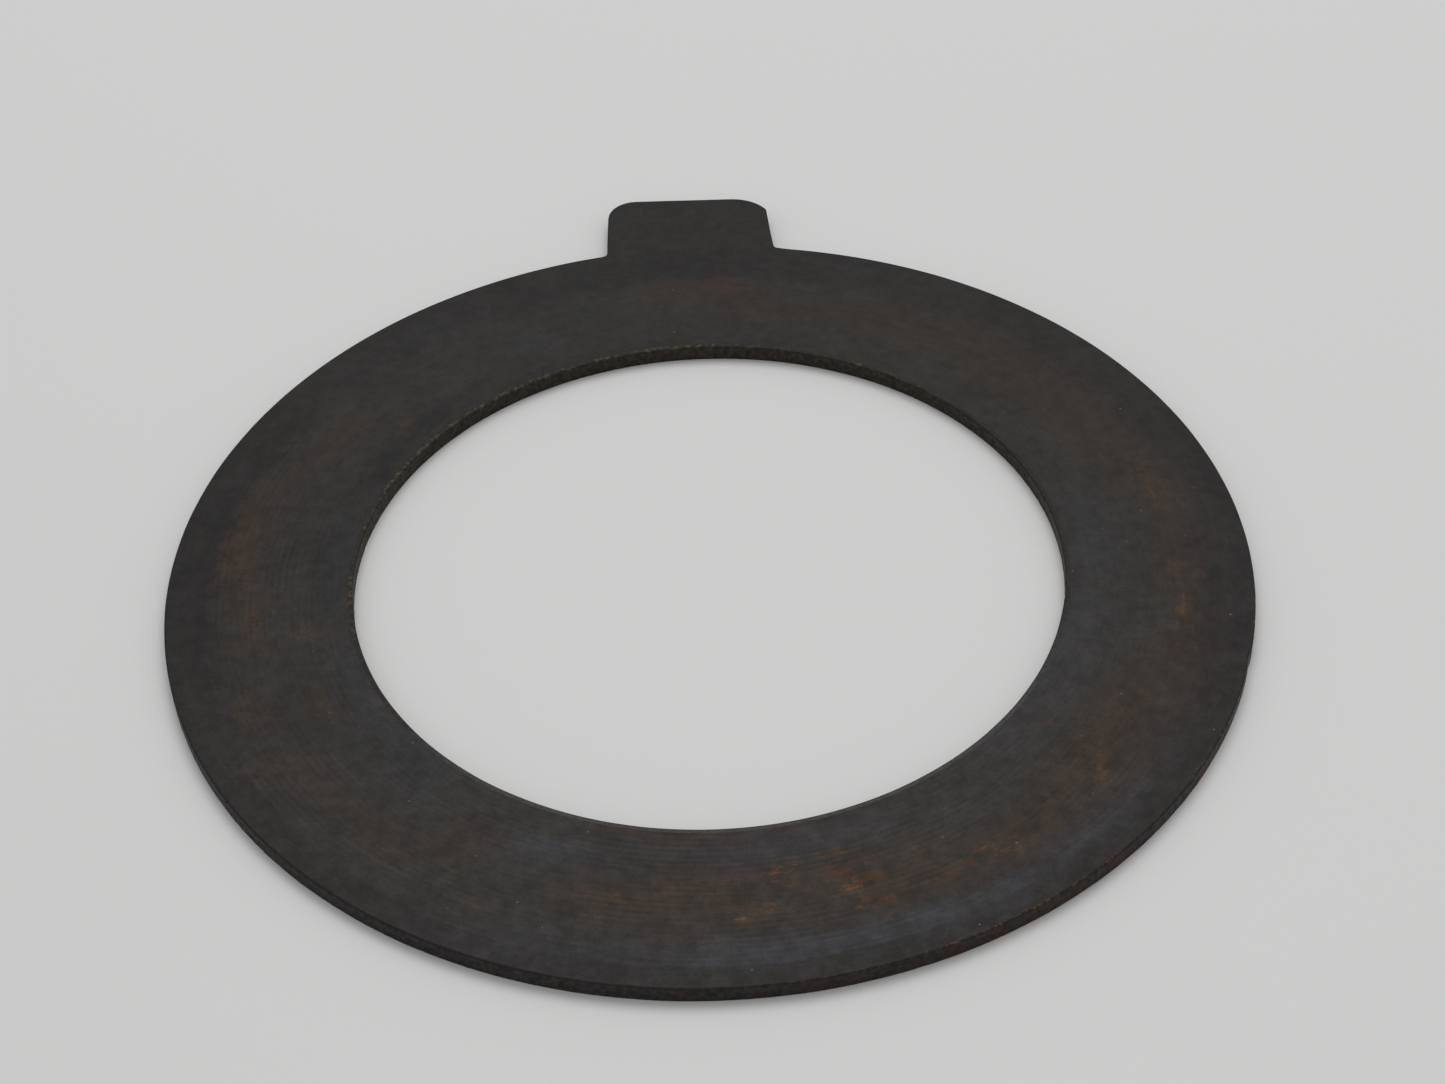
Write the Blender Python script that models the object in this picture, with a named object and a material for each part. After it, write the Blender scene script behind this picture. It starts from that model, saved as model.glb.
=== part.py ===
"""A flat steel washer with one locking tab on its rim, as one solid.

It lies flat: +Z is its axis, +Y points along the tab, and the origin is at the middle of its
bounding box, on the bottom face. All sizes are in metres.
"""

from math import atan2, cos, pi, radians, sin, sqrt

import bmesh
import bpy
from mathutils import Matrix, Vector

# The ring: 4 in outside, from 1/16 in sheet.
OUTER_RADIUS = 0.0508
BORE_RADIUS = 0.0333
THICKNESS = 0.0016
EDGE_BREAK = 0.0001  # every edge is deburred by this much

# The tab, measured from the ring's centre, with the tab pointing along +Y.
TAB_REACH = 0.0596  # to the middle of the tip's edge
TAB_ROOT_HALF_WIDTH = 0.0089  # to each flank, level with the top of the rim
LEFT_FLANK_TAPER = radians(1.8)
RIGHT_FLANK_TAPER = radians(3.3)
TIP_SLANT = radians(2.0)  # the tip's edge falls this much towards +X
LEFT_CORNER_RADIUS = 0.0030  # blends the left flank into the tip
RIGHT_CORNER_RADIUS = 0.0045  # leaves the tip smoothly and meets the right flank at an angle
RIGHT_CORNER_START = 0.0048  # how far right of the middle it leaves the tip
ROOT_FILLET = 0.0006  # between each flank and the rim

RIM_STEPS = 240
BORE_STEPS = 240
CORNER_STEPS = 8
FILLET_STEPS = 4

OXIDE_COLOUR = (0.040, 0.038, 0.036, 1.0)
OXIDE_ROUGHNESS = 0.55


def arc(centre, spoke, turn, steps):
    """Points round a centre, from the spoke's end through the turn, both ends included."""
    return [centre + Matrix.Rotation(turn * i / steps, 2) @ spoke for i in range(steps + 1)]


def short_turn(first, second):
    """The angle from one vector to another, positive anticlockwise and never over half a turn."""
    return atan2(first.cross(second), first.dot(second))


def along_to_circle(start, direction, centre, radius):
    """The point further along the direction where a line from the start crosses a circle."""
    gap = start - centre
    half_b = gap.dot(direction)
    reach = sqrt(half_b**2 - gap.length_squared + radius**2) - half_b
    return start + reach * direction


def crossing(point, direction, other_point, other_direction):
    """Where two lines cross."""
    reach = (other_point - point).cross(other_direction) / direction.cross(other_direction)
    return point + reach * direction


class Flank:
    """One side of the tab: a straight line from its base on the rim towards the tip."""

    def __init__(self, side, taper):
        self.base = Vector((side * TAB_ROOT_HALF_WIDTH, OUTER_RADIUS))
        self.along = Vector((-side * sin(taper), cos(taper)))
        self.outward = Vector((side * cos(taper), sin(taper)))

    def fillet(self):
        """The concave arc that joins the rim to this flank, starting on the rim."""
        start = self.base + ROOT_FILLET * self.outward
        centre = along_to_circle(start, self.along, Vector((0.0, 0.0)), OUTER_RADIUS + ROOT_FILLET)
        spoke = -centre.normalized() * ROOT_FILLET
        return arc(centre, spoke, short_turn(spoke, -self.outward), FILLET_STEPS)


def tip_outline(right, left):
    """The tab's end, from the right flank to the left one."""
    middle = Vector((0.0, TAB_REACH))
    leftward = Vector((-cos(TIP_SLANT), sin(TIP_SLANT)))
    outward = Vector((sin(TIP_SLANT), cos(TIP_SLANT)))

    centre = middle - leftward * RIGHT_CORNER_START - outward * RIGHT_CORNER_RADIUS
    spoke = along_to_circle(right.base, right.along, centre, RIGHT_CORNER_RADIUS) - centre
    right_corner = arc(centre, spoke, short_turn(spoke, outward), CORNER_STEPS)

    centre = crossing(
        left.base - left.outward * LEFT_CORNER_RADIUS, left.along,
        middle - outward * LEFT_CORNER_RADIUS, leftward,
    )
    spoke = outward * LEFT_CORNER_RADIUS
    left_corner = arc(centre, spoke, short_turn(spoke, left.outward), CORNER_STEPS)
    return right_corner + left_corner


def outer_outline():
    """The rim and the tab, anticlockwise round the ring's centre."""
    right = Flank(1, RIGHT_FLANK_TAPER)
    left = Flank(-1, LEFT_FLANK_TAPER)
    right_fillet = right.fillet()
    left_fillet = left.fillet()[::-1]
    rim_turn = 2 * pi - short_turn(right_fillet[0], left_fillet[-1])
    rim = arc(Vector((0.0, 0.0)), left_fillet[-1], rim_turn, RIM_STEPS)
    return right_fillet + tip_outline(right, left) + left_fillet + rim[1:-1]


def bore_outline():
    full_turn = arc(Vector((0.0, 0.0)), Vector((BORE_RADIUS, 0.0)), 2 * pi, BORE_STEPS)
    return full_turn[:-1]


def clear_scene():
    for obj in list(bpy.data.objects):
        bpy.data.objects.remove(obj, do_unlink=True)


def oxide_material():
    material = bpy.data.materials.new("black_oxide_steel")
    material.use_nodes = True
    shader = material.node_tree.nodes["Principled BSDF"]
    shader.inputs["Base Color"].default_value = OXIDE_COLOUR
    shader.inputs["Roughness"].default_value = OXIDE_ROUGHNESS
    shader.inputs["Metallic"].default_value = 1.0
    material.diffuse_color = OXIDE_COLOUR
    return material


def plate_mesh(name, outlines, matrix):
    """A closed mesh of the area between the outlines, with broken edges, middled on z = 0."""
    curve = bpy.data.curves.new(name + "_outline", "CURVE")
    curve.dimensions = "2D"
    curve.fill_mode = "BOTH"
    curve.extrude = THICKNESS / 2 - EDGE_BREAK
    curve.bevel_depth = EDGE_BREAK
    curve.bevel_resolution = 0
    curve.offset = -EDGE_BREAK
    for outline in outlines:
        spline = curve.splines.new("POLY")
        spline.points.add(len(outline) - 1)
        for point, place in zip(spline.points, outline):
            point.co = (place.x, place.y, 0.0, 1.0)
        spline.use_cyclic_u = True
    drawn = bpy.data.objects.new(name + "_outline", curve)
    drawn.matrix_world = matrix
    bpy.context.scene.collection.objects.link(drawn)
    graph = bpy.context.evaluated_depsgraph_get()
    mesh = bpy.data.meshes.new_from_object(drawn.evaluated_get(graph))
    bpy.data.objects.remove(drawn, do_unlink=True)

    welded = bmesh.new()
    welded.from_mesh(mesh)
    bmesh.ops.remove_doubles(welded, verts=welded.verts, dist=1e-6)
    bmesh.ops.recalc_face_normals(welded, faces=welded.faces)
    welded.to_mesh(mesh)
    welded.free()
    mesh.name = name
    return mesh


def make_washer(collection):
    outer = outer_outline()
    tip_height = max(point.y for point in outer)
    centre_of_ring = (0.0, (OUTER_RADIUS - tip_height) / 2, THICKNESS / 2)
    matrix = Matrix.Translation(centre_of_ring)
    mesh = plate_mesh("tab_washer", [outer, bore_outline()], matrix)
    mesh.materials.append(oxide_material())

    washer = bpy.data.objects.new("tab_washer", mesh)
    washer.matrix_world = matrix
    collection.objects.link(washer)
    mesh.shade_smooth()
    mesh.set_sharp_from_angle(angle=radians(30))


def main():
    clear_scene()
    collection = bpy.data.collections.new("washer")
    bpy.context.scene.collection.children.link(collection)
    make_washer(collection)


main()
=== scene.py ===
"""How the tab washer looks: sheared edges, a turned face and worn black oxide, on a pale bench.

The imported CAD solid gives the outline, the bore and the thickness. Lengths are in metres. Azimuths
are in degrees, anticlockwise from +X round the ring's centre, so the tab is at 90.
"""

from math import ceil, cos, floor, pi, radians, sin

import bpy
import numpy as np
from mathutils import Matrix, Vector, noise


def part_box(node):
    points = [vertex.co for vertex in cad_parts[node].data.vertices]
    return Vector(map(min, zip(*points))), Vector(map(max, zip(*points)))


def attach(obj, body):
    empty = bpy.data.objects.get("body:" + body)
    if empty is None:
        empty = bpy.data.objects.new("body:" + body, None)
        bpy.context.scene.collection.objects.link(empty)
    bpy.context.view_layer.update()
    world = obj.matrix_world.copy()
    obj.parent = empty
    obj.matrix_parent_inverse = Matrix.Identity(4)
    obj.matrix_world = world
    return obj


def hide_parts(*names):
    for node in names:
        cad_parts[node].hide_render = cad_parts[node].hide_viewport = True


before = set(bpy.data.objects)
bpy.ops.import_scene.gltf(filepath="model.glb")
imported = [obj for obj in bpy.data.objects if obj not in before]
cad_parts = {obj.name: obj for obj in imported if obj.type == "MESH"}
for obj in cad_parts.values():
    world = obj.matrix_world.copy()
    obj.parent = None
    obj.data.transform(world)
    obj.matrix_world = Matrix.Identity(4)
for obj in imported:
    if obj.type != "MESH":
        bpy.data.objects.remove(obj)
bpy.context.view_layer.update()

# The ring, as the CAD has it.
LOWEST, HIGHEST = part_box("tab_washer")
RIM_RADIUS = (HIGHEST.x - LOWEST.x) / 2
RING_CENTRE = Vector(((LOWEST.x + HIGHEST.x) / 2, LOWEST.y + RIM_RADIUS, 0.0))
THICKNESS = HIGHEST.z - LOWEST.z
WALL_CORNERS_AT = (0.05 * THICKNESS, 0.95 * THICKNESS)  # the CAD walls' corners lie in between
OUTER_WALL_FROM = 0.9 * RIM_RADIUS
ROUND_UP_TO = 1.0001 * RIM_RADIUS  # an outline's corner further out than this is on the tab
BORE_UP_TO, RIM_FROM = 0.75 * RIM_RADIUS, 0.80 * RIM_RADIUS

# The turned face. A mating part has worn it inside a circle that isn't quite centred.
GROOVE_PITCH = 0.000635
GROOVE_DEPTH = 0.0000028
SHALLOWEST_GROOVES = 0.4  # as a share of the depth, on the side away from the deepest
DEEPEST_GROOVES_AT = 245.0
LEFT_MARKS_AT = 150.0  # the marks show again here through a painted highlight on their ridges, though they are shallow
# Also where the painted highlight on the ridges of the turning marks is strongest.
HARDEST_CONTACT_AT = 278.0
TAB_CONTACT_AT = 91.0  # the worn circle's edge is crisp here too, below the tab
CONTACT_RADIUS = 0.0468
CONTACT_CENTRE = np.array([0.0, -0.0018])  # from the ring's centre
CONTACT_EDGE = 0.0004  # half the width of its edge in the mesh
WEAR_DEPTH = 0.000010
# Half the width of its edge in the colours: at most, near the deepest marks and below the tab.
SOFTEST_WEAR, CRISPEST_WEAR, TAB_WEAR = 0.0018, 0.00022, 0.0006

# The edges, as the shears left them.
EDGE_ROLL = 0.00018  # the top corners are drawn down
BURR_BREAK = 0.00005  # the bottom corners are nearly sharp
TORN_UP_TO, CUT_FROM = 0.35, 0.75  # shares of the thickness: torn below, cleanly cut above
SHEAR_ROUGHNESS = 0.00004
CUT_ROUGHNESS = 0.25  # of the torn part's roughness, on the cleanly cut part
ROUGHNESS_CELL = 0.0006
EDGE_WAVE = 0.00004
WAVE_CELL = 0.004
LIP_FROM, LIP_FULL = 0.00024, 0.00006  # below the top face: where the lip's colour starts and is full
DAMP_SIDE_AT = 322.0
GOLD_DUST_AT = 125.0
NICK_AT_BOTTOM = 0.4  # of its depth at the top face
# A nick is an azimuth, a depth and half its width. A negative depth is a burr that stands out.
RIM_NICKS = [(342.0, 0.00018, 0.0009), (340.3, 0.00008, 0.0015), (79.4, -0.00010, 0.0007)]
BORE_NICKS = [(167.5, 0.00010, 0.0004), (350.0, 0.00012, 0.0006)]

# The mesh.
COLUMN_STEP = 0.00067
ROWS_PER_GROOVE = 4
ROWS_LEFT_OUT = 6  # the groove rows stop this many short of the rim
ROWS_TO_OUTLINE = 9  # from the last groove row to the outline, with the tab
ROLL_STEPS = 4
WALL_STEPS = 9
BOTTOM_STEPS = 8

# The finishes: linear colours that the metal reflects.
OXIDE = (0.0258, 0.0243, 0.0234)
WORN_GREY = (0.0295, 0.0281, 0.0269)
BROWN_FILM = (0.0360, 0.0275, 0.0221)
# Cool grey: a random tone, and also a painted bluish sheen on the side towards the camera.
COOL_GREY_AND_SHEEN = (0.0350, 0.0345, 0.0380)
DARK_OXIDE = (0.0218, 0.0206, 0.0204)
RUST_STAIN = (0.062, 0.0355, 0.0210)
RUST = (0.200, 0.092, 0.032)
RED_RUST = (0.130, 0.050, 0.026)
PALE_SPECK = (0.112, 0.108, 0.095)
LOWEST_HUE = (0.88, 0.93, 0.88)  # a noise's colour times the range, added to this, is a tint
HUE_RANGE = (0.24, 0.14, 0.24)
EDGE_DARK = (0.036, 0.034, 0.033)
EDGE_GREY = (0.064, 0.060, 0.058)
EDGE_RUST = (0.068, 0.046, 0.035)
EDGE_LIP = (0.0340, 0.0320, 0.0310)
BURNISHED_LIP = (0.064, 0.062, 0.060)
LIP_RUST = (0.094, 0.056, 0.036)
BORE_TINT = (1.00, 0.94, 0.78)
BORE_GOLD = (0.070, 0.059, 0.035)

# Where each tone lies on the turned face. A patch is an azimuth, a radius as a share of the rim's,
# half its length in degrees, half its width as a share of the rim's radius, and its strength.
BROWN_PATCHES = [
    (40, 0.825, 62, 0.160, 0.62),
    (222, 0.850, 28, 0.110, 0.35),
    (10, 0.865, 26, 0.080, 0.75),
    (88, 0.850, 18, 0.075, 0.80),
    (75, 0.780, 30, 0.090, 0.55),
    (149, 0.838, 18, 0.070, 0.55),
    (143, 0.735, 5, 0.040, 0.50),
    (171, 0.875, 24, 0.075, 0.85),
    (155, 0.740, 8, 0.040, 0.35),
    (187, 0.840, 10, 0.070, 0.60),
    (190, 0.750, 6, 0.040, 0.50),
    (204, 0.775, 9, 0.050, 0.45),
    (213, 0.865, 9, 0.070, 0.50),
    (200, 0.880, 12, 0.060, 0.40),
    (235, 0.800, 10, 0.150, 0.40),
    (230, 0.880, 6, 0.030, 0.35),
    (275, 0.820, 50, 0.140, 0.50),
    (266, 0.820, 24, 0.100, 0.75),
    (280, 0.810, 10, 0.110, 0.60),
    (292, 0.850, 16, 0.080, 0.70),
    (306, 0.860, 16, 0.090, 0.70),
    (325, 0.830, 28, 0.125, 0.80),
    (342, 0.880, 22, 0.085, 0.70),
    (355, 0.865, 14, 0.080, 0.70),
    (55, 0.668, 75, 0.022, 0.45),
    (262, 0.672, 50, 0.025, 0.50),
    (308, 0.705, 60, 0.060, 0.26),
]
# Cool grey: random tone in most patches; the strongest, on the side towards the camera (about 245 to
# 330 degrees), are a painted bluish sheen.
COOL_AND_SHEEN_PATCHES = [
    (284, 0.937, 48, 0.052, 1.00),
    (312, 0.945, 15, 0.034, 0.95),
    (252, 0.985, 28, 0.050, 0.50),
    (247, 0.745, 11, 0.050, 0.80),
    (328, 0.695, 34, 0.075, 0.90),
    (285, 0.710, 34, 0.055, 0.70),
    (176, 0.695, 18, 0.045, 0.40),
    (212, 0.680, 26, 0.050, 0.60),
    (222, 0.745, 22, 0.100, 0.20),
    (3, 0.720, 18, 0.070, 0.45),
    (68, 0.945, 14, 0.050, 0.25),
    (125, 0.930, 28, 0.070, 0.30),
    (112, 0.780, 20, 0.100, 0.12),
]
DARK_PATCHES = [
    (345, 0.910, 26, 0.050, 0.90),
    (172, 0.925, 40, 0.060, 0.90),
    (357, 0.985, 38, 0.045, 0.70),
    (175, 0.985, 40, 0.045, 0.60),
    (90, 0.940, 22, 0.060, 0.60),
    (147, 0.700, 34, 0.050, 0.80),
    (176, 0.715, 18, 0.040, 0.60),
    (88, 0.668, 70, 0.028, 0.70),
    (278, 0.868, 24, 0.030, 0.30),
]
RUST_PATCHES = [
    (286, 0.868, 5.0, 0.025, 1.00),
    (286, 0.820, 5.0, 0.045, 1.00),
    (284.5, 0.785, 5, 0.040, 0.85),
    (284, 0.753, 4, 0.025, 0.95),
    (277, 0.757, 4, 0.025, 0.60),
    (277, 0.785, 5, 0.030, 0.60),
    (271.5, 0.861, 2.5, 0.016, 0.90),
    (274, 0.840, 5, 0.040, 0.65),
    (270, 0.775, 7, 0.015, 0.65),
    (262, 0.788, 4, 0.025, 0.60),
    (257, 0.822, 4, 0.030, 0.70),
    (254, 0.835, 6, 0.070, 0.45),
    (294.5, 0.864, 4, 0.015, 0.85),
    (299, 0.852, 4, 0.025, 0.75),
    (293.5, 0.795, 4, 0.025, 0.75),
    (303, 0.865, 5, 0.045, 0.80),
    (304, 0.790, 1.5, 0.015, 0.60),
    (312, 0.845, 6, 0.050, 0.45),
    (318.5, 0.868, 4, 0.035, 0.75),
    (320, 0.843, 2.5, 0.018, 0.90),
    (321.5, 0.809, 4, 0.028, 0.95),
    (322.5, 0.729, 2.5, 0.015, 0.80),
    (341.5, 0.866, 3, 0.020, 0.75),
    (348.5, 0.868, 5, 0.032, 0.95),
    (355, 0.860, 5, 0.030, 0.60),
    (12, 0.860, 10, 0.035, 0.65),
    (172, 0.885, 12, 0.045, 0.40),
    (179, 0.865, 6, 0.035, 0.55),
    (186, 0.835, 6, 0.030, 0.80),
    (190, 0.750, 4, 0.030, 0.70),
    (202, 0.890, 4, 0.030, 0.70),
    (204, 0.765, 7, 0.025, 0.60),
    (210, 0.930, 4, 0.070, 0.55),
    (212, 0.880, 6, 0.040, 0.50),
    (230, 0.890, 5, 0.025, 0.50),
    (237, 0.800, 3, 0.050, 0.60),
    (243, 0.895, 3, 0.030, 0.50),
    (143, 0.805, 5, 0.020, 0.60),
    (142, 0.735, 2.5, 0.020, 0.70),
    (208, 0.668, 7, 0.012, 0.90),
    (118.5, 0.820, 1.2, 0.015, 0.70),
]

# Camera, bench and light.
CAMERA_PLACE = Vector((-0.00192, -0.20418, 0.18301))
CAMERA_AIM = Vector((0.00151, 0.00051, 0.0))
CAMERA_ROLL = radians(2.19)
CAMERA_LENS = 71.6
BENCH_SIZE = 4.0
BENCH_COLOUR = (0.62, 0.615, 0.612, 1.0)
BENCH_GAP = 0.00002  # between the bench and the washer, so that they don't share a plane
SKY_STRENGTH = 0.65
SOFTBOX_PLACE = (0.06, 0.36, 0.75)
SOFTBOX_SIZE = (0.7, 0.5)
SOFTBOX_POWER = 2.6

# The mesh's materials, in the order that make_washer adds them.
FACE, EDGE, UNDERSIDE = range(3)


# ---------------------------------------------------------------- the washer's shape


def length(points):
    return np.linalg.norm(points, axis=-1)


def smooth_step(values, start, end):
    """0 where the values are at start, 1 where they are at end, and a smooth step between."""
    share = np.clip((values - start) / (end - start), 0.0, 1.0)
    return share * share * (3.0 - 2.0 * share)


def cad_outline():
    """The corners of the CAD solid's outer wall, in order round the ring, from its centre."""
    lower, upper = WALL_CORNERS_AT
    corners = set()
    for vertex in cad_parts["tab_washer"].data.vertices:
        place = vertex.co - RING_CENTRE
        if lower < place.z < upper and place.xy.length > OUTER_WALL_FROM:
            corners.add((round(place.x, 7), round(place.y, 7)))
    return np.array(sorted(corners, key=lambda corner: np.arctan2(corner[1], corner[0])))


def cad_bore_radius():
    """The least distance of the CAD solid's corners from the ring's axis."""
    return min(length(np.array(vertex.co - RING_CENTRE)[:2])
               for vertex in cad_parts["tab_washer"].data.vertices)


def finer(points):
    """The same closed outline with more points, on the rim's circle where the rim is round."""
    fine = []
    for start, end in zip(points, np.roll(points, -1, axis=0)):
        steps = ceil(length(end - start) / COLUMN_STEP)
        on_rim = max(length(start), length(end)) < ROUND_UP_TO
        for step in range(steps):
            point = start + (end - start) * step / steps
            fine.append(point * RIM_RADIUS / length(point) if on_rim else point)
    return np.array(fine)


def outward(points):
    """The unit normal of a closed anticlockwise outline at each of its points."""
    edges = np.roll(points, -1, axis=0) - points
    sides = np.stack([edges[:, 1], -edges[:, 0]], axis=1) / length(edges)[:, None]
    sums = sides + np.roll(sides, 1, axis=0)
    return sums / length(sums)[:, None]


def nick_depths(spokes, radius, nicks):
    """How deep the nicks cut into a wall at each spoke."""
    depths = np.zeros(len(spokes))
    for azimuth, depth, half_width in nicks:
        middle = np.array([cos(radians(azimuth)), sin(radians(azimuth))])
        depths += depth * np.exp(-(length(spokes - middle) * radius / half_width) ** 2)
    return depths


def noise_at(points, height, cell):
    """Noise from 0 to 1 at each point, with lumps of about the cell's size."""
    return np.array([0.5 + 0.5 * noise.noise(Vector((*point, height)) / cell) for point in points])


def edge_section():
    """Pairs of inset and height, from the bottom face round the wall to the top face."""
    section = [(BURR_BREAK, 0.0)]
    wall_top = THICKNESS - EDGE_ROLL
    for step in range(WALL_STEPS + 1):
        section.append((0.0, BURR_BREAK + (wall_top - BURR_BREAK) * step / WALL_STEPS))
    for step in range(1, ROLL_STEPS + 1):
        turn = pi / 2 * step / ROLL_STEPS
        section.append((EDGE_ROLL * (1 - cos(turn)), wall_top + EDGE_ROLL * sin(turn)))
    return section


def wall_rows(outline, normals, nicks):
    """Rows of points up a sheared wall, from the bottom face to the top face."""
    rows = []
    wave = EDGE_WAVE * noise_at(outline, 0.0, WAVE_CELL)
    for inset, height in edge_section():
        torn = 1.0 - smooth_step(height / THICKNESS, TORN_UP_TO, CUT_FROM)
        lumps = noise_at(outline, height, ROUGHNESS_CELL)
        rough = SHEAR_ROUGHNESS * (CUT_ROUGHNESS + (1.0 - CUT_ROUGHNESS) * torn) * lumps
        nick_share = NICK_AT_BOTTOM + (1.0 - NICK_AT_BOTTOM) * height / THICKNESS
        inward = inset + wave + rough + nicks * nick_share
        points = outline - normals * inward[:, None]
        rows.append((points, np.full(len(points), height), EDGE))
    return rows


def top_relief(points):
    """How far the top face lies below the sheet's full thickness."""
    radii = length(points)
    to_contact = length(points - CONTACT_CENTRE)
    worn = smooth_step(to_contact, CONTACT_RADIUS + CONTACT_EDGE, CONTACT_RADIUS - CONTACT_EDGE)
    across_groove = 2.0 * (radii / GROOVE_PITCH % 1.0) - 1.0
    deepest = np.array([cos(radians(DEEPEST_GROOVES_AT)), sin(radians(DEEPEST_GROOVES_AT))])
    nearness = np.clip(points @ deepest / radii, 0.0, 1.0)
    strength = SHALLOWEST_GROOVES + (1.0 - SHALLOWEST_GROOVES) * nearness
    return worn * (WEAR_DEPTH + GROOVE_DEPTH * strength * (1.0 - across_groove**2))


def face_rows(spokes, bore_edge, rim_edge):
    """Rows of points across the top face: at each step of the grooves, then out to the rim."""
    row_gap = GROOVE_PITCH / ROWS_PER_GROOVE
    first = ceil(length(bore_edge).max() / row_gap + 0.5)
    last = floor((RIM_RADIUS - EDGE_ROLL - EDGE_WAVE) / row_gap - ROWS_LEFT_OUT)
    rows = [spokes * row_gap * row for row in range(first, last + 1)]
    last_round = rows[-1]
    for step in range(1, ROWS_TO_OUTLINE):
        rows.append(last_round + (rim_edge - last_round) * step / ROWS_TO_OUTLINE)
    return [(points, THICKNESS - top_relief(points), FACE) for points in rows]


def bottom_rows(rim_edge, bore_edge):
    """Rows of points across the flat bottom face, from the rim to the bore."""
    rows = []
    for step in range(1, BOTTOM_STEPS):
        points = rim_edge + (bore_edge - rim_edge) * step / BOTTOM_STEPS
        rows.append((points, np.zeros(len(points)), UNDERSIDE))
    return rows


def washer_mesh():
    """A closed mesh: one row of points after another round the washer's section."""
    outline = finer(cad_outline())
    spokes = outline / length(outline)[:, None]
    bore_radius = cad_bore_radius()
    bore = wall_rows(spokes * bore_radius, -spokes, nick_depths(spokes, bore_radius, BORE_NICKS))
    rim = wall_rows(outline, outward(outline), nick_depths(spokes, RIM_RADIUS, RIM_NICKS))
    top = face_rows(spokes, bore[-1][0], rim[-1][0])
    bottom = bottom_rows(rim[0][0], bore[0][0])
    rows = bore + top + rim[::-1] + bottom

    points = np.array([np.column_stack([flat, heights]) for flat, heights, _ in rows])
    index = np.arange(points.shape[0] * points.shape[1]).reshape(points.shape[:2])
    further = np.roll(index, -1, axis=0)
    corners = [index, further, np.roll(further, -1, axis=1), np.roll(index, -1, axis=1)]
    quads = np.stack(corners, axis=-1).reshape(-1, 4)
    places = points.reshape(-1, 3) + np.array(RING_CENTRE)

    mesh = bpy.data.meshes.new("washer")
    mesh.from_pydata(places.tolist(), [], quads.tolist())
    finishes = np.repeat([finish for _, _, finish in rows], points.shape[1])
    mesh.polygons.foreach_set("material_index", finishes.astype(np.int32))
    mesh.shade_smooth()
    mesh.validate()
    return mesh


# ---------------------------------------------------------------- finishes


class Finish:
    """A material under construction. add() returns the new node, and most others a socket."""

    def __init__(self, name):
        self.material = bpy.data.materials.new(name)
        self.material.use_nodes = True
        self.tree = self.material.node_tree
        self.shader = self.tree.nodes["Principled BSDF"]

    def add(self, kind, inputs, **settings):
        """A new node. Its inputs come in order, and None leaves one as it is."""
        node = self.tree.nodes.new(kind)
        for name, value in settings.items():
            setattr(node, name, value)
        for index, value in enumerate(inputs):
            if isinstance(value, bpy.types.NodeSocket):
                self.tree.links.new(value, node.inputs[index])
            elif value is not None:
                node.inputs[index].default_value = value
        return node

    def set(self, name, value):
        """Puts a number, a colour or a socket on one of the shader's own sockets."""
        if isinstance(value, bpy.types.NodeSocket):
            self.tree.links.new(value, self.shader.inputs[name])
        else:
            self.shader.inputs[name].default_value = value

    def math(self, operation, *inputs):
        return self.add("ShaderNodeMath", inputs, operation=operation).outputs[0]

    def times(self, *factors):
        product = factors[0]
        for factor in factors[1:]:
            product = self.math("MULTIPLY", product, factor)
        return product

    def vector(self, operation, *inputs):
        node = self.add("ShaderNodeVectorMath", inputs, operation=operation)
        return node.outputs["Value" if operation in ("LENGTH", "DOT_PRODUCT") else "Vector"]

    def step(self, value, start, end, low=0.0, high=1.0):
        """low where the value is at start, high where it is at end, and a smooth step between."""
        inputs = [value, start, end, low, high]
        return self.add("ShaderNodeMapRange", inputs, interpolation_type="SMOOTHSTEP").outputs[0]

    def varied(self, noise_value, amount):
        """From 1 less the amount to 1 plus the amount, as the noise goes from low to high."""
        return self.step(noise_value, 0.25, 0.75, 1.0 - amount, 1.0 + amount)

    def noise(self, place, detail=2.0, roughness=0.5, output="Fac"):
        inputs = [place, None, 1.0, detail, roughness]
        return self.add("ShaderNodeTexNoise", inputs).outputs[output]

    def mix(self, share, first, second):
        """The first colour where the share is 0 and the second where it is 1."""
        node = self.add("ShaderNodeMix", [], data_type="RGBA")
        for name, value in (("Factor_Float", share), ("A_Color", first), ("B_Color", second)):
            socket = next(found for found in node.inputs if found.identifier == name)
            if isinstance(value, bpy.types.NodeSocket):
                self.tree.links.new(value, socket)
            else:
                socket.default_value = (*value, 1.0) if name != "Factor_Float" else value
        return next(found for found in node.outputs if found.identifier == "Result_Color")

    def shade(self, colour, light):
        """The colour with its red, green and blue all multiplied by one socket's value."""
        grey = self.add("ShaderNodeCombineXYZ", [light] * 3).outputs[0]
        return self.vector("MULTIPLY", colour, grey)

    def bump(self, height, distance):
        """A normal for bumps of up to the distance, where the height goes from 0 to 1."""
        node = self.add("ShaderNodeBump", [1.0, distance])
        self.tree.links.new(height, node.inputs["Height"])
        return node.outputs[0]


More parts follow.
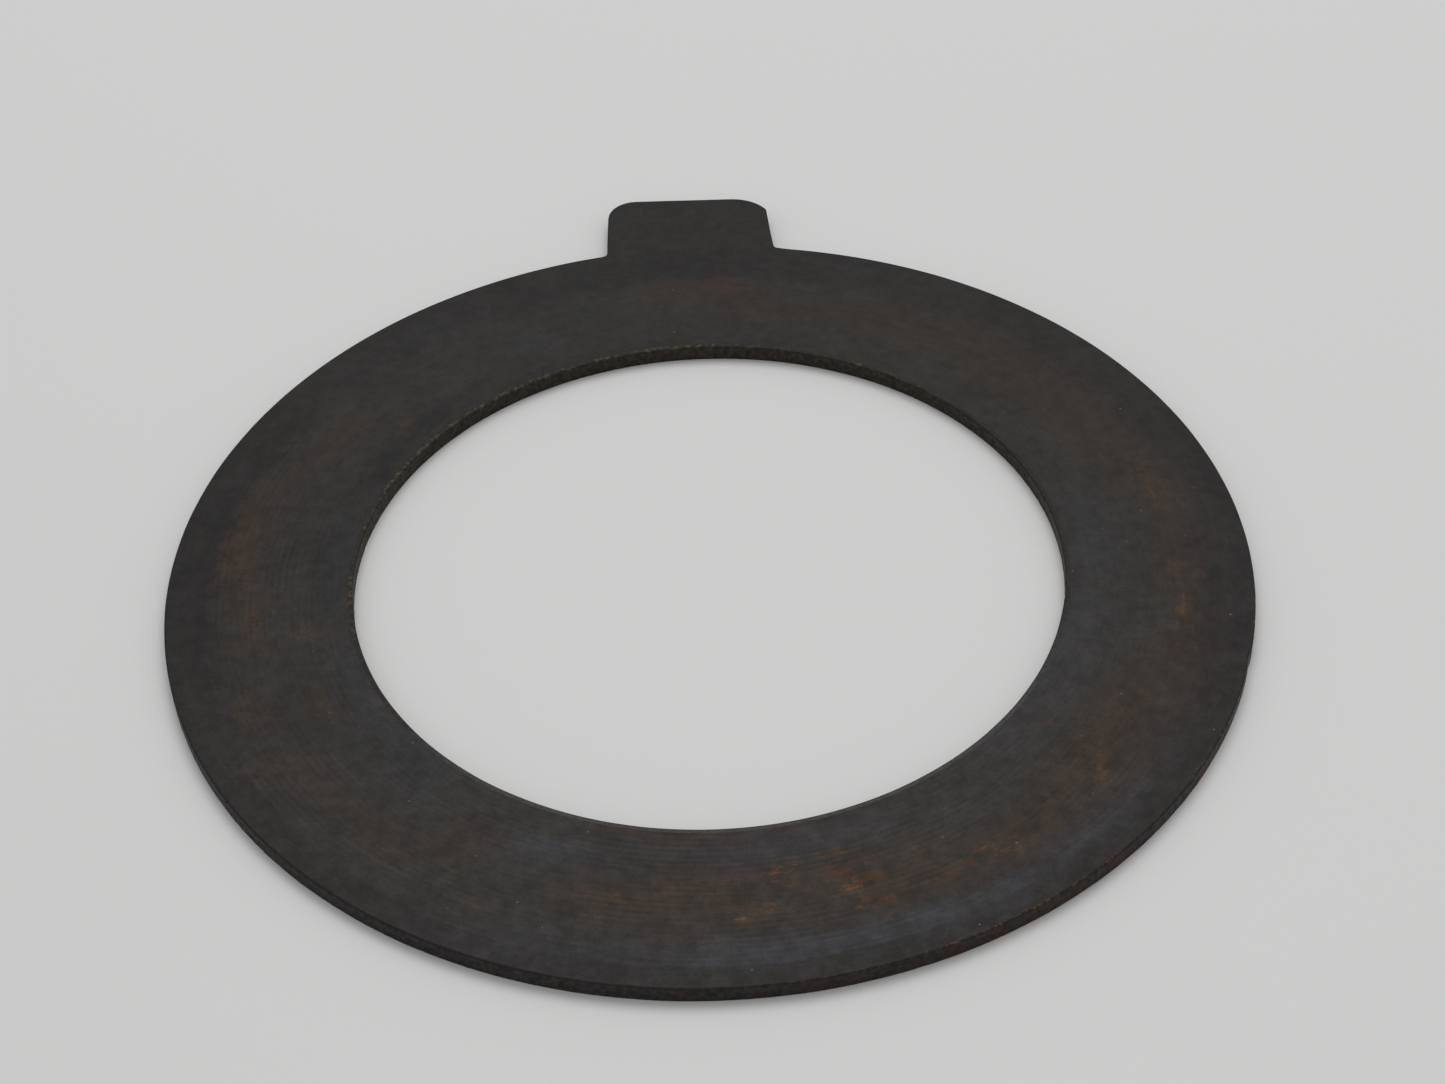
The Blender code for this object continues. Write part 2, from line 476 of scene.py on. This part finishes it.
class RingPlace:
    """Sockets that say where on the ring a point is."""

    def __init__(self, finish):
        self.finish = finish
        located = finish.add("ShaderNodeTexCoord", []).outputs["Object"]
        self.offset = finish.vector("SUBTRACT", located, RING_CENTRE)
        self.flat = finish.vector("MULTIPLY", self.offset, (1.0, 1.0, 0.0))
        self.radius = finish.vector("LENGTH", self.flat)
        self.spoke = finish.vector("NORMALIZE", self.flat)
        self.height = finish.add("ShaderNodeSeparateXYZ", [self.offset]).outputs["Z"]
        share = finish.math("MULTIPLY", self.radius, 1 / RIM_RADIUS)
        upright = finish.add("ShaderNodeCombineXYZ", [0.0, 0.0, share]).outputs[0]
        self.rolled = finish.vector("ADD", self.spoke, upright)

    def from_spot(self, spot):
        """The distance from a spot, given from the ring's centre."""
        return self.finish.vector("LENGTH", self.finish.vector("SUBTRACT", self.flat, (*spot, 0.0)))

    def towards(self, azimuth):
        """1 at the azimuth, -1 opposite, and the cosine between."""
        aim = (cos(radians(azimuth)), sin(radians(azimuth)), 0.0)
        return self.finish.vector("DOT_PRODUCT", self.spoke, aim)

    def crest(self):
        """1 on the ridges between the turning marks, 0 at the bottom of a mark."""
        finish = self.finish
        phase = finish.math("FRACT", finish.math("MULTIPLY", self.radius, 1 / GROOVE_PITCH))
        return finish.math("ABSOLUTE", finish.math("MULTIPLY_ADD", phase, 2.0, -1.0))

    def cells(self, size):
        """A place to read noise at, with lumps of about that size."""
        return self.finish.vector("MULTIPLY", self.offset, (1 / size,) * 3)

    def streaks(self, long, wide):
        """A place to read noise at, with lumps drawn out along the turning marks."""
        finish = self.finish
        round_ring = finish.vector("MULTIPLY", self.spoke, (0.85 * RIM_RADIUS / long,) * 3)
        outward_step = finish.math("MULTIPLY", self.radius, 1 / wide)
        across = finish.add("ShaderNodeCombineXYZ", [0.0, 0.0, outward_step]).outputs[0]
        return finish.vector("ADD", round_ring, across)

    def specks(self, spacing):
        """1 on a few tiny grains, 0 between them."""
        finish = self.finish
        node = finish.add("ShaderNodeTexVoronoi", [self.cells(spacing), None, 1.0])
        chance = finish.add("ShaderNodeSeparateColor", [node.outputs["Color"]]).outputs[0]
        lit = finish.step(chance, 0.5, 1.0)
        return finish.times(lit, finish.step(node.outputs["Distance"], 0.065, 0.025))

    def ragged(self, size, reach):
        """The place as a unit spoke and a share of the rim's radius, shaken to make patches ragged."""
        finish = self.finish
        shake = finish.noise(self.cells(size), detail=5.0, roughness=0.68, output="Color")
        centred = finish.vector("SUBTRACT", shake, (0.5, 0.5, 0.5))
        return finish.vector("ADD", self.rolled, finish.vector("MULTIPLY", centred, (reach,) * 3))

    def patches(self, place, spots):
        """As strong as the strongest of the soft patches that cover a place, 0 outside them all."""
        finish = self.finish
        strongest = None
        for azimuth, share, half_angle, half_width, strength in spots:
            half_chord = 2 * sin(radians(half_angle) / 2)
            reach = (1 / half_chord, 1 / half_chord, 1 / half_width)
            middle = (cos(radians(azimuth)), sin(radians(azimuth)), share)
            shift = tuple(-far * place_there for far, place_there in zip(reach, middle))
            gap = finish.vector("LENGTH", finish.vector("MULTIPLY_ADD", place, reach, shift))
            patch = finish.step(gap, 1.0, 0.1, 0.0, strength)
            strongest = patch if strongest is None else finish.math("MAXIMUM", strongest, patch)
        return strongest


def worn_circle(finish, place, clouds):
    """1 where the mating part ran and 0 outside. Its edge wanders, and is crisp only in places."""
    softness = finish.math(
        "MINIMUM",
        finish.step(place.towards(DEEPEST_GROOVES_AT), -0.3, 0.7, SOFTEST_WEAR, CRISPEST_WEAR),
        finish.step(place.towards(TAB_CONTACT_AT), 0.94, 0.985, SOFTEST_WEAR, TAB_WEAR),
    )
    wander = finish.times(finish.math("SUBTRACT", clouds, 0.5), softness, 2.0)
    depth_inside = finish.math("SUBTRACT", CONTACT_RADIUS, place.from_spot(CONTACT_CENTRE))
    edge_gap = finish.math("DIVIDE", finish.math("ADD", depth_inside, wander), softness)
    return finish.step(edge_gap, -1.0, 1.0)


def groove_highlight(finish, place, worn):
    """A painted highlight and shade: how much lighter the ridges are painted than the bottoms of the
    turning marks.
    """
    runs = finish.noise(place.streaks(0.0110, 0.0016))
    # The painted highlight shows towards the deepest marks and on the left, only inside the worn
    # circle, and is strongest on the side towards the camera.
    near_deepest = finish.step(place.towards(DEEPEST_GROOVES_AT), -0.5, 0.6)
    on_left = finish.step(place.towards(LEFT_MARKS_AT), 0.55, 0.95, 0.0, 0.5)
    near_side_highlight = finish.step(place.towards(HARDEST_CONTACT_AT), 0.85, 0.97, 0.13, 0.22)
    seen = finish.math("ADD", near_deepest, on_left)
    return finish.times(worn, seen, finish.step(runs, 0.42, 0.60), near_side_highlight)


def turned_face():
    """Worn black oxide: grey where a mating part ran on it, with tones, rust and turning marks, a
    painted highlight on the marks' ridges and a painted bluish sheen on the side towards the camera.
    """
    finish = Finish("turned_black_oxide")
    place = RingPlace(finish)
    clouds = finish.noise(place.cells(0.0042), detail=3.0, roughness=0.6)
    mottle = finish.noise(place.cells(0.0012), detail=4.0, roughness=0.6)
    streaks = finish.noise(place.streaks(0.0030, 0.00034))
    dashes = finish.noise(place.streaks(0.0014, 0.00045), detail=3.0, roughness=0.6)
    grain = finish.noise(place.cells(0.00022), detail=1.0)
    hues = finish.noise(place.cells(0.0008), detail=4.0, roughness=0.75, output="Color")
    crest = place.crest()
    worn = worn_circle(finish, place, clouds)

    # The tones, each in its own patches. Brown and cool tones are weaker outside the worn circle. The
    # cool grey is partly random tone and, on the side towards the camera, a painted bluish sheen.
    tone_place = place.ragged(0.0036, 0.11)
    brown = finish.times(
        place.patches(tone_place, BROWN_PATCHES),
        finish.step(mottle, 0.25, 0.75, 0.65, 1.30),
        finish.step(worn, 0.0, 1.0, 0.30, 1.0),
    )
    cool_and_sheen = finish.times(
        place.patches(tone_place, COOL_AND_SHEEN_PATCHES),
        finish.step(clouds, 0.25, 0.75, 0.6, 1.2),
        finish.step(worn, 0.0, 1.0, 0.33, 1.0),
    )
    dark = place.patches(tone_place, DARK_PATCHES)
    colour = finish.mix(worn, OXIDE, WORN_GREY)
    colour = finish.mix(cool_and_sheen, colour, COOL_GREY_AND_SHEEN)
    colour = finish.mix(dark, colour, DARK_OXIDE)
    colour = finish.mix(finish.math("MINIMUM", brown, 1.0), colour, BROWN_FILM)

    # Rust: a faint stain over its patches, and dashes that lie down in the turning marks.
    rust = place.patches(place.ragged(0.0012, 0.03), RUST_PATCHES)
    stain = finish.times(rust, finish.step(mottle, 0.35, 0.65, 0.0, 0.34))
    colour = finish.mix(stain, colour, RUST_STAIN)
    likely = finish.math("ADD", finish.times(rust, 0.31), finish.times(brown, 0.06))
    shown = finish.step(finish.math("ADD", dashes, likely), 0.76, 0.86)
    valley = finish.step(crest, 0.95, 0.45)
    vivid = finish.step(place.towards(HARDEST_CONTACT_AT), 0.88, 0.97, 0.13, 0.45)
    in_marks = finish.times(shown, valley, vivid)
    dash_colour = finish.mix(finish.step(clouds, 0.40, 0.60), RED_RUST, RUST)
    colour = finish.mix(in_marks, colour, dash_colour)

    # A painted highlight on the ridges and painted shade in the bottoms of the turning marks, random
    # light and dark from noise of four sizes, small shifts of hue, pale grains.
    ridge_highlight = groove_highlight(finish, place, worn)
    light = finish.times(
        finish.math("MULTIPLY_ADD", finish.math("SUBTRACT", crest, 0.5), ridge_highlight, 1.0),
        finish.varied(clouds, 0.07),
        finish.varied(mottle, 0.06),
        finish.varied(streaks, 0.05),
        finish.varied(grain, 0.07),
    )
    colour = finish.shade(colour, light)
    tint = finish.vector("MULTIPLY_ADD", hues, HUE_RANGE, LOWEST_HUE)
    colour = finish.vector("MULTIPLY", colour, tint)
    colour = finish.mix(place.specks(0.0019), colour, PALE_SPECK)

    roughness = finish.step(mottle, 0.2, 0.8, 0.56, 0.46)
    roughness = finish.math("ADD", roughness, finish.times(in_marks, 0.3))
    bumps = finish.math("ADD", finish.times(grain, 0.7), finish.times(streaks, 0.3))
    finish.set("Base Color", colour)
    finish.set("Metallic", 1.0)
    finish.set("Roughness", roughness)
    finish.set("Normal", finish.bump(bumps, 0.000006))
    return finish.material


def sheared_edge():
    """The cut walls: dark and torn, rusty where they lay damp, olive and lighter-lipped in the bore."""
    finish = Finish("sheared_edge")
    place = RingPlace(finish)
    tears = finish.noise(place.cells(0.0005), detail=4.0, roughness=0.6)
    patches = finish.noise(place.cells(0.0035))
    in_bore = finish.step(place.radius, RIM_FROM, BORE_UP_TO)
    on_rim = finish.math("SUBTRACT", 1.0, in_bore)
    lip = finish.step(place.height, THICKNESS - LIP_FROM, THICKNESS - LIP_FULL)

    colour = finish.mix(finish.step(tears, 0.3, 0.7), EDGE_DARK, EDGE_GREY)
    damp = finish.step(place.towards(DAMP_SIDE_AT), 0.35, 0.95)
    rusty = finish.times(damp, finish.step(patches, 0.35, 0.65))
    wall_rust = finish.times(rusty, finish.step(tears, 0.35, 0.6, 0.3, 1.0))
    colour = finish.mix(wall_rust, colour, EDGE_RUST)
    tint = finish.mix(in_bore, (1.0, 1.0, 1.0), BORE_TINT)
    colour = finish.vector("MULTIPLY", colour, tint)

    # The lip under the top face: burnished in the bore, flecked with rust on the rim's damp side.
    burnished = finish.times(in_bore, finish.step(place.towards(HARDEST_CONTACT_AT), 0.3, 0.8))
    colour = finish.mix(lip, colour, finish.mix(burnished, EDGE_LIP, BURNISHED_LIP))
    flecks = finish.times(rusty, on_rim, lip, finish.step(tears, 0.48, 0.62))
    colour = finish.mix(flecks, colour, LIP_RUST)
    dusty = finish.step(place.towards(GOLD_DUST_AT), -0.1, 0.7)
    clumps = finish.times(finish.step(tears, 0.46, 0.62), finish.step(patches, 0.35, 0.55))
    colour = finish.mix(finish.times(in_bore, lip, dusty, clumps), colour, BORE_GOLD)

    finish.set("Base Color", colour)
    finish.set("Metallic", 1.0)
    finish.set("Roughness", finish.step(tears, 0.2, 0.8, 0.75, 0.55))
    finish.set("Normal", finish.bump(tears, 0.00004))
    return finish.material


def plain_underside():
    """The face that was never turned: even black oxide with a little brown."""
    finish = Finish("oxide_underside")
    place = RingPlace(finish)
    lumps = finish.noise(place.cells(0.009), detail=3.0)
    mottle = finish.noise(place.cells(0.0016), detail=4.0, roughness=0.65)
    uneven = finish.math("ADD", lumps, finish.times(mottle, 0.35))
    brown = finish.step(uneven, 0.55, 0.90, 0.0, 0.8)
    colour = finish.mix(brown, OXIDE, BROWN_FILM)
    finish.set("Base Color", finish.shade(colour, finish.varied(mottle, 0.12)))
    finish.set("Metallic", 1.0)
    finish.set("Roughness", finish.step(mottle, 0.2, 0.8, 0.60, 0.50))
    finish.set("Normal", finish.bump(mottle, 0.00001))
    return finish.material


def make_washer():
    mesh = washer_mesh()
    for material in (turned_face(), sheared_edge(), plain_underside()):
        mesh.materials.append(material)
    washer = bpy.data.objects.new("washer", mesh)
    bpy.context.scene.collection.objects.link(washer)
    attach(washer, "root")
    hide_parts("tab_washer")


# ---------------------------------------------------------------- bench, light and camera


def make_bench():
    place = (0.0, 0.0, LOWEST.z - BENCH_GAP)
    bpy.ops.mesh.primitive_plane_add(size=BENCH_SIZE, location=place)
    bench = bpy.context.object
    bench.name = "bench"
    finish = Finish("pale_bench")
    finish.set("Base Color", BENCH_COLOUR)
    finish.set("Roughness", 0.5)
    bench.data.materials.append(finish.material)


def make_light():
    world = bpy.data.worlds.new("studio")
    world.use_nodes = True
    background = world.node_tree.nodes["Background"]
    background.inputs["Color"].default_value = (1.0, 1.0, 1.0, 1.0)
    background.inputs["Strength"].default_value = SKY_STRENGTH
    bpy.context.scene.world = world

    lamp = bpy.data.lights.new("softbox", "AREA")
    lamp.shape = "RECTANGLE"
    lamp.size, lamp.size_y = SOFTBOX_SIZE
    lamp.energy = SOFTBOX_POWER
    softbox = bpy.data.objects.new("softbox", lamp)
    softbox.location = SOFTBOX_PLACE
    softbox.rotation_euler = (-softbox.location).to_track_quat("-Z", "Y").to_euler()
    bpy.context.scene.collection.objects.link(softbox)


def make_camera():
    camera = bpy.data.objects.new("camera", bpy.data.cameras.new("camera"))
    camera.data.lens = CAMERA_LENS
    camera.data.clip_start = 0.01
    facing = (CAMERA_AIM - CAMERA_PLACE).to_track_quat("-Z", "Y").to_matrix()
    turned = facing @ Matrix.Rotation(-CAMERA_ROLL, 3, "Z")
    camera.matrix_world = Matrix.Translation(CAMERA_PLACE) @ turned.to_4x4()
    bpy.context.scene.collection.objects.link(camera)
    bpy.context.scene.camera = camera


def main():
    bpy.context.scene.view_settings.view_transform = "Standard"
    make_camera()
    make_washer()
    make_bench()
    make_light()


main()
